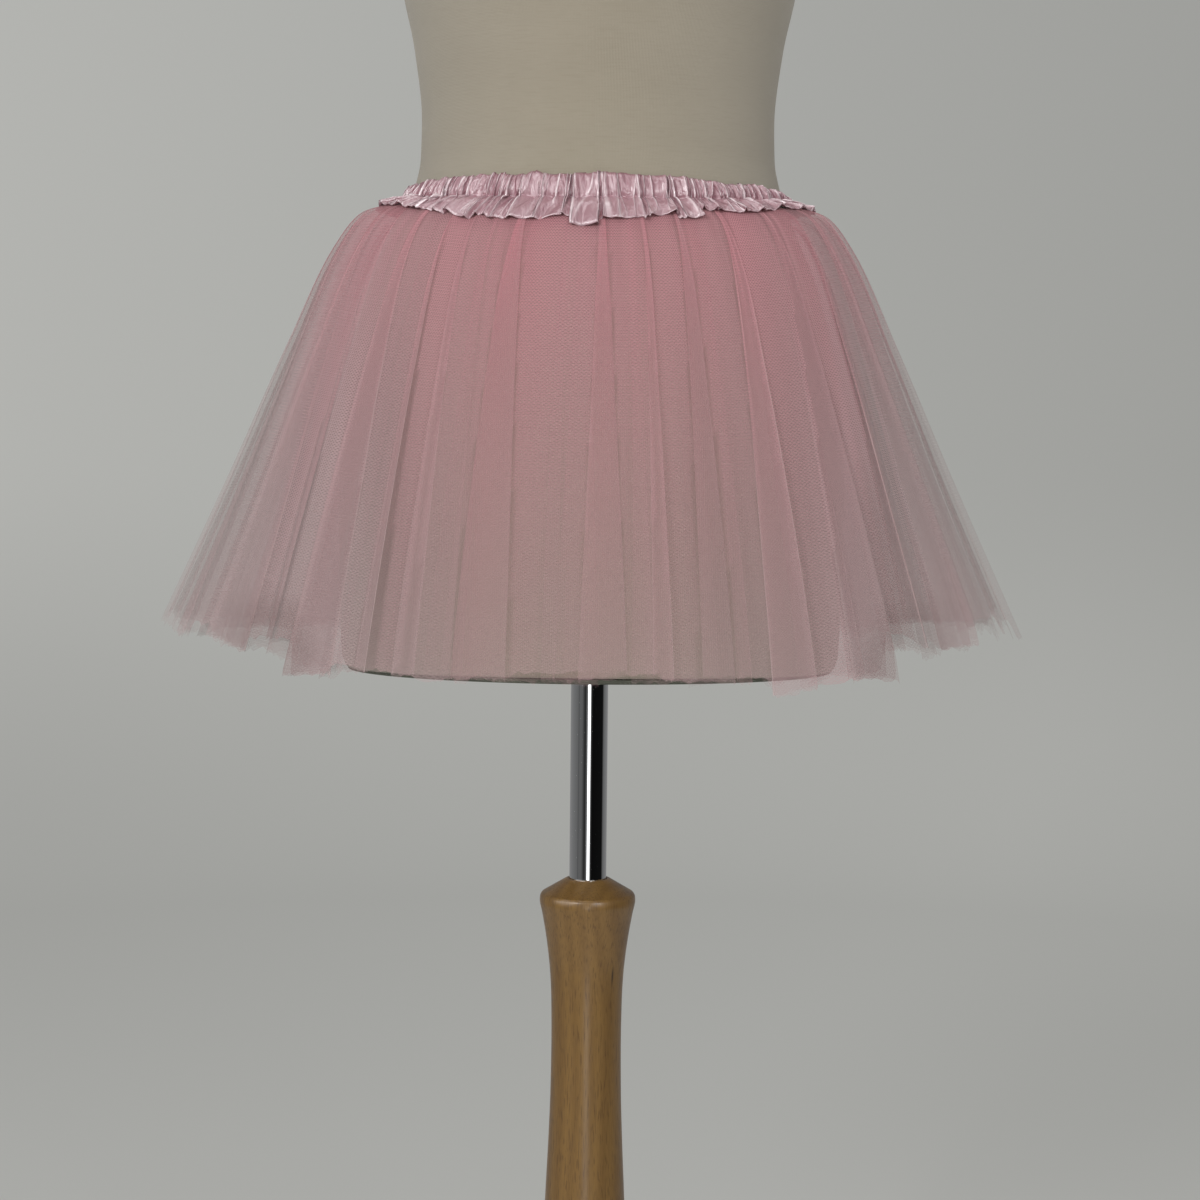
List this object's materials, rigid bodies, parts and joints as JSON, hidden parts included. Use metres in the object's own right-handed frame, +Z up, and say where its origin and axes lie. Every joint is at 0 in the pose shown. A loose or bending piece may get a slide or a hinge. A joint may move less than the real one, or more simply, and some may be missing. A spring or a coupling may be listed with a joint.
{
  "type": "ballet tutu on a limbless dress form with stand",
  "caption": "Short gathered net ballet tutu with a ruffled satin elastic waistband, displayed on a limbless padded dress form with a chrome pole and a turned wooden stand.",
  "frame": {"origin": "centre of the stand's round foot, on the floor", "axes": "+Z up along the pole, -Y towards the front of the form, +X to the right as seen from the front"},
  "size_m": [0.5609, 0.4325, 1.503],
  "materials": {
    "tulle": "soft see-through pink nylon net",
    "satin": "glossy pink satin",
    "jersey": "smooth matt cream jersey",
    "board": "dark matt edge",
    "chrome": "mirror-bright chrome",
    "beech": "satin-varnished beech"
  },
  "bodies": {
    "root": {"tulle_outer": "tulle", "tulle_middle": "tulle", "tulle_inner": "tulle", "waistband": "satin", "form_torso": "jersey", "form_base_board": "board", "stand_pole": "chrome", "stand_post": "beech", "stand_foot": "beech"}
  },
  "joints": []
}
